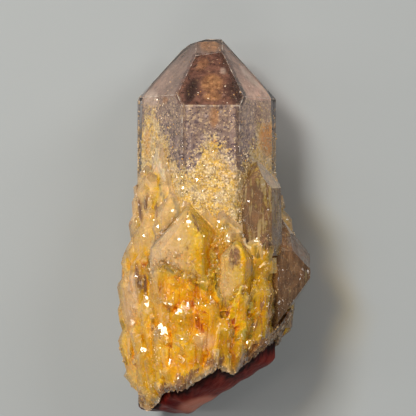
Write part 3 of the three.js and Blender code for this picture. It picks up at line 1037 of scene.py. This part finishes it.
rootLook = {
    "dark": (0.105, 0.008, 0.009), "red": (0.25, 0.04, 0.028), "cloud": (0.56, 0.2, 0.14),
    # gap: painted shadow, near black, under the overhanging jacket edge
    "gap": (0.012, 0.004, 0.004),
    "clouds": [(-2.6, -31, 4, 1.6, 12, 1), (3.2, -29.2, 1.6, 1.2, 30, 0.5)],
    "top": -15.6,
    "voxel": 0.35,
}


# Shell-like fracture across the main crystal: a slanting bowl with faint ribs round its lower left corner.
def rootHeight(x, z):
    slant = 0.62 * max(0, x + 4.5) + 0.1 * max(0, -x - 4.5)
    rib = 0.12 * sin(1.9 * hypot(x + 12.5, z - 6))
    return slant + 0.036 * (z - 7) ** 2 + rib - 33.1


# Ragged lower edge of the jacket on the upper side: low at the left corner, rising steeply to the right.
raggedEdge = [
    # across, height
    (-20, -31.4), (-10.8, -31.8), (-9.4, -30.4), (-9.1, -28.4), (-7.8, -27.9), (-5.4, -27.6), (-3.3, -26.3),
    (-0.5, -24.7), (0.8, -23.8), (2.2, -24.6), (3.4, -25.2), (4.6, -24), (6.2, -22.8), (8.3, -21.1),
    (9.9, -19.7), (11.3, -16.9), (20, -3),
]


def raggedHeight(x, z):
    steps = zip(raggedEdge, raggedEdge[1:])
    (x0, y0), (x1, y1) = next(pair for pair in steps if x <= pair[1][0] or pair[1] == raggedEdge[-1])
    edge = y0 + (y1 - y0) * (x - x0) / (x1 - x0)
    low = -30.75 + 0.5 * max(0, x + 4.46)
    teeth = 0.9 * noise.noise(Vector((x * 1.7, 0, z * 0.8))) + 0.4 * noise.noise(Vector((x * 4.5, 3, z * 2)))
    return low + (edge - low) * smoothstep(5, 14, z) + teeth


def aboveRaggedEdge(place):
    return place.y - raggedHeight(place.x, place.z)


# A block that reaches down from a rough surface: what it takes off is broken away.
breakBlock = {"halfWidth": 21, "middle": 12, "foot": -70}


def breakage(heightAt, cellCount):
    block = bmesh.new()
    bmesh.ops.create_grid(block, x_segments=cellCount, y_segments=cellCount, size=breakBlock["halfWidth"])
    for vert in block.verts:
        x, z = vert.co.x, vert.co.y + breakBlock["middle"]
        vert.co = Vector((x, heightAt(x, z), z))
    for vert in bmesh.ops.extrude_face_region(block, geom=block.faces[:])["geom"]:
        if isinstance(vert, bmesh.types.BMVert):
            vert.co.y = breakBlock["foot"]
    bmesh.ops.recalc_face_normals(block, faces=block.faces[:])
    return block


def brokenRoot():
    bm = quartzCrystal({**mainShape, "length": 90})
    cutAway(bm, Vector((0, rootLook["top"], 0)), Vector((0, 1, 0)))
    flattenBelow(bm)
    triangulate(bm)
    piece = objectFrom(bm, "broken_root")
    remesh(piece, rootLook["voxel"])
    cutOut(piece, breakage(rootHeight, 90))
    keepLargest(piece)
    remesh(piece, rootLook["voxel"])
    soften(piece, 5)
    paintPoints(piece, lambda place, _: {
        "cloud": spotted(rootLook["clouds"], place) * smoothstep(6, 10, place.z),
        # Painted shadow under the jacket's ragged edge.
        "gap": smoothstep(2.6, 0.5, -aboveRaggedEdge(place)),
    })
    return piece


# jacket

# Mauve crystals carry a painted reflection on the face turned towards this angle.
mauve = {"look": "mauveQuartz", "reflectionFace": 30, "stain": 0.1, "rise": 0.1}
honey = {"look": "honeyQuartz", "stain": 0.12, "window": 0, "taper": 2}
largeShapes = {
    "shoulder": {
        **mauve, "seed": 3, "core": 1, "cloud": 0.1, "window": 0.72,
        "tip": (7.642, 12.35, 17.4), "sides": [2.7, 3.5, 3.6, 4, 3, 3.8], "length": 17, "lean": (1, 3),
        "drops": [0.3, 0.9, 0, 0.5, 0, 0.8], "taper": 2,
    },
    "side": {
        **mauve, "seed": 8, "core": 1.6, "cloud": 0, "window": 1.1, "roll": -30,
        "tip": (11.342, 2.35, 12.8), "sides": [4.6, 5.5, 4.6, 4.6, 5, 4.8], "length": 20, "lean": (0, 2),
        "drops": [0.3, 0, 0, 0, 0, 0.8], "facets": [(8, 125, 19.2), (30, 53, 0), (30, 62, -1.41)],
    },
    "broad": {
        **honey, "seed": 2, "core": 0.6, "rise": 0.34, "cloud": 0.6,
        "tip": (-4.258, 4.35, 21.95), "sides": [3.6, 3.9, 4.4, 5, 5.8, 6], "length": 16, "lean": (-1, 9),
        "drops": [-6, 0.2, 0, 0, 0.4, 0], "facets": [(93, 76, -8), (120, 130, 16)],
    },
    "slender": {
        **honey, "seed": 4, "core": 0.5, "rise": 0.3, "cloud": 0.45,
        "tip": (4.042, -1.75, 22.8), "sides": [2.1, 2.6, 2.6, 3, 2.6, 2.5], "length": 17, "lean": (5, 12),
        "drops": [0.9, 0, 0, 0, 0, 0.2],
    },
}

jacketLook = {
    # each growth: count, half width, length in half widths, highest place along
    "growths": [(120, (0.6, 1.5), (2.2, 3.6), 14), (260, (0.3, 0.9), (2.6, 5), -4)],
    "fan": 0.05,  # how fast the crystals turn outwards across the jacket
    "flare": 0.5,  # how far they lean out of it
    "rim": 0.06,
    "gap": 0.35,  # between the skin and the large crystals
    "clearGap": 0.12,  # between the skin and the main crystal
    "coreDepth": 0.6,
    "coreVoxel": 0.32,
    "envelopeVoxel": 0.7,
    "seed": 21,
}

# Middle-sized crystals: tip across and along, half width, length, lean right and up, rise, tone.
middleCrystals = [
    (-10.6, 10.4, 2.5, 13, -4, 3, 0.5, 0.3), (-13.7, -0.6, 1.5, 5, -12, 5, 0.6, 0.75),
    (-15.2, -3.4, 1.4, 5, -14, 0, 0.4, 0.6), (-15.4, -7.8, 1.5, 9, -5, 0, 0.3, 0),
    (-12.8, -6, 1.9, 7.5, -3, 4, 0.7, 0.5), (10.2, -8, 2.4, 6, 20, 10, 0.7, 0.25),
    (9, 0.9, 2.2, 6, 6, 4, 0.5, 0.8), (-6.5, -12, 1.3, 9, -6, 2, 0.7, 0.3),
    (-10.5, -13.5, 1.2, 9, -8, 9, 0.6, 0.15), (-1.5, -13, 1.1, 8, 2, 3, 0.6, 0.85),
    (2.6, -15.5, 1.2, 8, 8, 3, 0.6, 0.6), (6, -14, 1.2, 9, 14, 3, 0.6, 0.3),
    (9.4, -12.4, 1.3, 8, 22, 3, 0.6, 0.5), (-13.4, -16, 1.2, 9, -8, 0, 0.5, 0.1),
    (-4.2, -18, 1.2, 7, -2, 2, 0.6, 0.5), (-8.4, -19, 1.1, 8, -5, 2, 0.5, 0.4),
    (0.4, -19.4, 0.9, 5, 4, 2, 0.4, 0.05), (-11.6, -21, 1.2, 9, -8, 0, 0.5, 0.2),
    (-9.6, -5.2, 1.2, 7, -5, 1, 0.6, 0.2), (-7.2, -6.4, 1.5, 7, -3, 2, 0.9, 0.6),
    (-4.4, -5.6, 1.7, 8, 2, 2, 1, 0.75), (-1.6, -6.8, 1.4, 7, 5, 2, 0.8, 0.4),
    (5.2, -9.6, 1.3, 6, 8, 2, 0.8, 0.3), (2.9, -10.4, 1.1, 6, -2, 2, 0.7, 0.7),
]

# Places left bare, so that the large crystals show their faces: (x, y, half width, half height).
bareSpots = [(-4.2, -0.5, 3.8, 4.6), (4, -5.5, 2.6, 4.6), (8.2, 6.5, 2.6, 6), (13.5, -5, 4, 8)]


def isBare(place):
    return place.z > 12 and any(
        hypot((place.x - x) / across, (place.y - y) / along) < 1 for x, y, across, along in bareSpots
    )


def onJacket(place):
    radius = hypot(place.x - mainShape["tip"][0], place.z - mainShape["tip"][2])
    return place.y < 13 and place.z > 0.6 and (radius > 10.6 or place.y < 2)


def placesOnJacket(piece, rng, count, top):
    triangles = []
    for polygon in piece.data.polygons:
        middle = polygon.center
        if onJacket(middle) and middle.y < top and not isBare(middle):
            corners = [piece.data.vertices[index].co for index in polygon.vertices[:3]]
            triangles.append((corners, polygon.normal.copy(), polygon.area))
    return list(placesOn(rng, triangles, count))


def middleCrystal(rng, tree, x, y, halfWidth, length, right, up, rise, tone):
    ground = seenFromAbove(tree, x, y - halfWidth)[0].z
    single = quartzCrystal({
        "tip": (x, y, ground + rise - halfWidth), "length": length, "lean": (right, up + 2), "taper": -5,
        "sides": [halfWidth * rng.uniform(0.85, 1.15) for _ in range(6)],
        "drops": [halfWidth * rng.uniform(0, 0.5) for _ in range(6)],
    })
    markFaces(single, rng, 0.1, tone)
    return objectFrom(single, "growth")


def growthDirection(rng, place, normal):
    fan = jacketLook["fan"] * (place.x + 3) * smoothstep(6, -8, place.y)
    along = Vector((fan + rng.uniform(-0.8, 0.8), 1, rng.uniform(-0.6, 0.6)))
    return (along + normal * jacketLook["flare"]).normalized()


# The solid's own jacket, set with crystals, broken below and hollowed out for the crystals it carries.
def goldenSkin():
    rng = random.Random(jacketLook["seed"])
    bm = bmeshOf(cadNode.data)
    bmesh.ops.scale(bm, vec=[1 / millimetre] * 3, verts=bm.verts)
    bmesh.ops.remove_doubles(bm, verts=bm.verts, dist=0.002)
    tree = BVHTree.FromBMesh(bm)
    bmesh.ops.dissolve_limit(bm, angle_limit=radians(2), verts=bm.verts[:], edges=bm.edges[:])
    markFaces(bm, rng, jacketLook["rim"], 0.4, even=False)
    whole = objectFrom(bm, "golden_skin")
    growths = [middleCrystal(rng, tree, *row) for row in middleCrystals]
    for count, widths, stretch, top in jacketLook["growths"]:
        for place, normal in placesOnJacket(whole, rng, count, top):
            halfWidth = rng.uniform(*widths)
            direction = growthDirection(rng, place, normal)
            tip = place + direction * halfWidth * rng.uniform(0.3, 1)
            if normal.y >= -0.6 and tip.z >= halfWidth and not isBare(tip):
                single = markedPoint(rng, tip, direction, halfWidth, halfWidth * rng.uniform(*stretch))
                growths.append(objectFrom(single, "growth"))
    whole = grownTogether([whole, grownTogether(growths)])
    cutOut(whole, breakage(raggedHeight, 150))
    cutOut(whole, quartzCrystal({**mainShape, "length": 80}, -jacketLook["clearGap"]))
    for shape in largeShapes.values():
        cutOut(whole, quartzCrystal(shape, -jacketLook["gap"]))
    keepLargest(whole)
    divideLongEdges(whole)
    return whole


# The stained quartz below the clear skin: the skin's own shape, drawn inwards.
def goldenCore(skin):
    core = newObject("golden_core", skin.data.copy())
    remesh(core, jacketLook["coreVoxel"])
    soften(core, 3)
    with edited(core.data) as bm:
        bm.normal_update()
        for vert in bm.verts:
            uneven = 0.25 * noise.noise(vert.co * 0.9)
            vert.co -= vert.normal * (jacketLook["coreDepth"] + uneven)
    remesh(core, jacketLook["coreVoxel"])
    keepLargest(core)
    return core


# The skin without its crystals: a smooth envelope that tells ridges from recesses.
def smoothEnvelope(skin):
    copy = newObject("envelope", skin.data.copy())
    remesh(copy, jacketLook["envelopeVoxel"])
    soften(copy, 8)
    bm = bmeshOf(copy.data)
    bpy.data.objects.remove(copy)
    return treeOf(bm)


# Loose glittering points on the jacket.
glitterLook = {
    "count": 1500, "halfWidth": (0.05, 0.16), "askew": 0.6, "along": 0, "proud": (0.3, 0.8), "seed": 9,
}


def glitter(skin):
    rng = random.Random(glitterLook["seed"])
    rows = (
        tinyPoint(rng, place, normal, glitterLook)
        for place, normal in placesOnJacket(skin, rng, glitterLook["count"], 14)
        if normal.y >= -0.7 and place.z >= 0.6
    )
    return scattered("glitter_quartz", quartzPoint, rng, rows)


# Small crystals crowded round the foot of the broad crystal and in the stained groove on its right.
crumbLook = {
    # from, to, spread, count
    "rows": [
        ((-9.8, -5.2), (-2.4, -9), 0.9, 80), ((-11, -3.2), (-11, -8.6), 0.35, 30),
        ((-6.6, 2.2), (-10.8, -2.8), 0.3, 22), ((1.2, 2.4), (0.3, -8.6), 0.8, 60),
        ((-8.6, -3.2), (-3.4, -5.6), 1.4, 24), ((-9.9, -17.1), (-9.2, -18.3), 0.6, 20),
    ],
    "halfWidth": (0.14, 0.42), "proud": (0.2, 0.8), "length": 2.2,
    "seed": 14,
}


def crumbs(skin):
    rng = random.Random(crumbLook["seed"])
    ground = bmeshOf(skin.data)
    addTo(ground, quartzCrystal(largeShapes["broad"]))
    addTo(ground, quartzCrystal(mainShape))
    tree = treeOf(ground)
    bm = bmesh.new()
    for start, end, spread, count in crumbLook["rows"]:
        for _ in range(count):
            t = rng.random()
            x, y = (a + (b - a) * t + rng.gauss(0, spread / 2) for a, b in zip(start, end))
            place, normal = seenFromAbove(tree, x, y)
            halfWidth = rng.uniform(*crumbLook["halfWidth"])
            if place is None:
                continue
            direction = (normal + Vector((rng.gauss(0, 0.4), 0.6, rng.gauss(0, 0.3)))).normalized()
            tip = place + direction * halfWidth * rng.uniform(*crumbLook["proud"])
            addTo(bm, markedPoint(rng, tip, direction, halfWidth, halfWidth * crumbLook["length"]))
    return objectFrom(bm, "crumb_quartz")


jacketSpots = {
    "stain": [
        (1.3, -0.2, 1.5, 1.8, 0, 0.95), (0.2, -4.2, 1.4, 3.4, -20, 1), (-0.6, -8.6, 1.6, 2.2, 0, 0.5),
        (-5.6, -8.6, 3, 2.2, 0, 0.1), (-1.5, -14.5, 4.5, 3.4, 0, 0.5), (4, -15, 2.6, 2.6, 0, 0.8),
        (-12.6, -6.4, 1.6, 1.2, 0, 0.6), (-8.2, -12.6, 2.2, 5, 0, 0.35), (7, 8.2, 1.2, 5, 0, 0.45),
        (8.6, 16.2, 1.6, 3.6, 0, 0.8),
    ],
    "pale": [
        (-4.5, -1, 2.6, 2.4, 0, 0.5), (4.6, -6.4, 2.4, 3.8, 0, 0.35), (-1.6, -19.2, 2.2, 1.6, 0, 0.6),
        (-14.4, -12.6, 1.6, 5.6, 0, 0.75),
    ],
    "window": [
        (-12.7, 3.4, 0.45, 2.6, 4, 0.9), (-11.7, 4.4, 0.35, 1.8, -6, 0.8), (-9.8, 3, 0.4, 1.8, 0, 0.8),
        (-13, -8.8, 0.6, 2.8, 8, 0.85), (-11.9, -9.6, 0.45, 2.2, 0, 0.8), (-13.4, 7.6, 0.4, 1.8, 0, 0.6),
        (7.4, 6, 1.5, 2.6, 8, 0.9), (8.6, 2.6, 1.3, 2.4, -8, 0.85), (9.2, -1.8, 1.4, 2.6, 0, 0.8),
        (3.6, -5, 1.3, 2.3, 0, 0.9), (-2.9, 0.7, 0.4, 2.4, 25, 0.7), (-5, 1.2, 0.25, 2.2, -20, 0.45),
        (-4.6, -3, 0.5, 1, 0, 0.4), (-7.6, -13.6, 0.4, 2, 0, 0.6), (-10.6, -16.8, 0.35, 2, -8, 0.6),
        (2, -12.4, 0.3, 1.6, 0, 0.5),
    ],
}


# Recesses are stained and ridges pale; paler towards the top, and on the left as painted light; the lowest
# edge is pale and crumbly, with painted shade in the gaps; painted shade darkens the lower right.
def paintStains(piece, envelope):
    def amountsAt(place, _):
        nearest, outward, _, _ = envelope.find_nearest(place)
        recess = (nearest - place).dot(outward)
        above = smoothstep(6, 12, place.z)
        patch = noise.noise(place * 0.22 + Vector((7, 3, 1)))
        elsewhere = (1 - above) * smoothstep(0.05, 0.35, patch) * 0.45
        # Paler towards the top, and on the left as painted light.
        high = smoothstep(-9, 2, place.y) + 0.5 * smoothstep(-5, -11, place.x)
        stain = 0.34 - 0.2 * high + 0.3 * smoothstep(0, 0.8, recess) - 0.2 * smoothstep(0.1, 0.6, -recess)
        stained, pale, window = (spotted(spots, place) * above for spots in jacketSpots.values())
        pale += 0.35 * smoothstep(0.3, 0.9, -recess) + 0.5 * high * smoothstep(0.4, -0.2, recess)
        pale += 0.9 * smoothstep(1.8, 0.2, aboveRaggedEdge(place))
        # Painted shade: dark patches in the gaps near the broken edge.
        crumbGapShade = 0.9 * smoothstep(3.6, 1.6, aboveRaggedEdge(place)) * smoothstep(-0.1, 0.3, patch)
        # Painted shade: darker towards the lower right, away from the light.
        paintedShade = 0.35 * smoothstep(3, 10, place.x) + 0.3 * smoothstep(8.5, 11, place.x)
        return {
            "stain": stain + stained * 0.34 + elsewhere,
            "cloud": min(1, pale) * (1 - 0.8 * stained),
            # The window amount also carries the painted shade.
            "window": max(window, crumbGapShade, paintedShade * smoothstep(-8, -13, place.y)),
        }

    paintPoints(piece, amountsAt)


# large crystals

# The painted shade of a face is at most 1; a higher one paints it pale, as a painted reflection on the face
# turned towards the given angle.
def markReflectionFace(bm, toward, reflectionShade=1.2):
    shades = bm.faces.layers.float["facet"]
    angle = radians(toward)
    wanted = Vector((cos(angle), 0.8, sin(angle))).normalized()
    best = max(face.normal.dot(wanted) for face in bm.faces)
    for face in bm.faces:
        if face.normal.dot(wanted) > best - 0.001:
            face[shades] = reflectionShade


# Large crystals are painted paler on their left and more golden on their right, as painted light and shade
# from the left, and more golden towards the tip.
def paintLarge(piece, shape):
    def amountsAt(place, _):
        across = (place.x - shape["tip"][0]) / shape["sides"][1]
        patch = noise.noise(place * 0.7)
        low = place.y - shape["tip"][1]
        deep = 0.2 * spotted(jacketSpots["stain"], place) + 0.2 * smoothstep(-6, -1, low)
        window = max(shape["window"], spotted(jacketSpots["window"], place))
        return {
            # Painted light and shade: paler on the left, more golden on the right.
            "stain": shape["stain"] + shape["rise"] * smoothstep(-0.5, 0.8, across) + deep + 0.12 * patch,
            "cloud": shape["cloud"] * smoothstep(0.4, -0.6, across),
            "window": max(0, window * (0.95 + 0.25 * patch)),
        }

    paintPoints(piece, amountsAt)


# A glass shell round a cloudy core.
def largeCrystal(name, shape, glass, inside, slotName):
    rng = random.Random(shape["seed"])
    parts = (("_crystal", 0, 0.2, glass), ("_core", shape["core"], 0.16, inside))
    for made, inset, rimWidth, material in parts:
        bm = quartzCrystal(shape, inset)
        flattenBelow(bm)
        markFaces(bm, rng, rimWidth, 0.5)
        if "reflectionFace" in shape:
            markReflectionFace(bm, shape["reflectionFace"])
        piece = objectFrom(bm, name + made)
        divideLongEdges(piece)
        paintLarge(piece, shape)
        finishPiece(piece, material, slotName)


print("camera, floor, lamps")
addCamera()
addFloor()
addLamps()

print("main crystal")
tinyQuartz = sugarMaterial()
finishPiece(clearCrystal(), clearAmethystMaterial(), "amethyst")
finishPiece(phantom(), phantomMaterial(), "phantom", smooth=True)
finishPiece(brokenRoot(), rootMaterial(), "broken_root", smooth=True)
finishPiece(goldFlecks(), fleckMaterial(), "phantom")
finishPiece(sugar(), tinyQuartz, "golden_quartz")
finishPiece(frostAndHighlightEdges(), frostAndHighlightMaterial(), "amethyst", smooth=True)

print("jacket")
skin = goldenSkin()
core = goldenCore(skin)
finishPiece(glitter(skin), tinyQuartz, "golden_quartz")
crumbPiece = crumbs(skin)
envelope = smoothEnvelope(skin)
for piece in (core, skin, crumbPiece):
    paintStains(piece, envelope)
skinQuartz = quartzMaterial("goldenSkin")
finishPiece(skin, skinQuartz, "golden_quartz")
finishPiece(crumbPiece, skinQuartz, "golden_quartz")
finishPiece(core, coreMaterial("goldenCore", Shade=0.5), "golden_quartz", smooth=True)

print("large crystals")
kinds = {
    "honeyQuartz": (quartzMaterial("honeyQuartz"), coreMaterial("honeyCore"), "golden_quartz"),
    "mauveQuartz": (quartzMaterial("mauveQuartz"), veilMaterial(), "smoky_quartz"),
}
for name, shape in largeShapes.items():
    largeCrystal(name, shape, *kinds[shape["look"]])

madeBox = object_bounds()
boxes = {"cad": cadBox, "visual": madeBox}
{name: [list(corner) for corner in box] for name, box in boxes.items()}
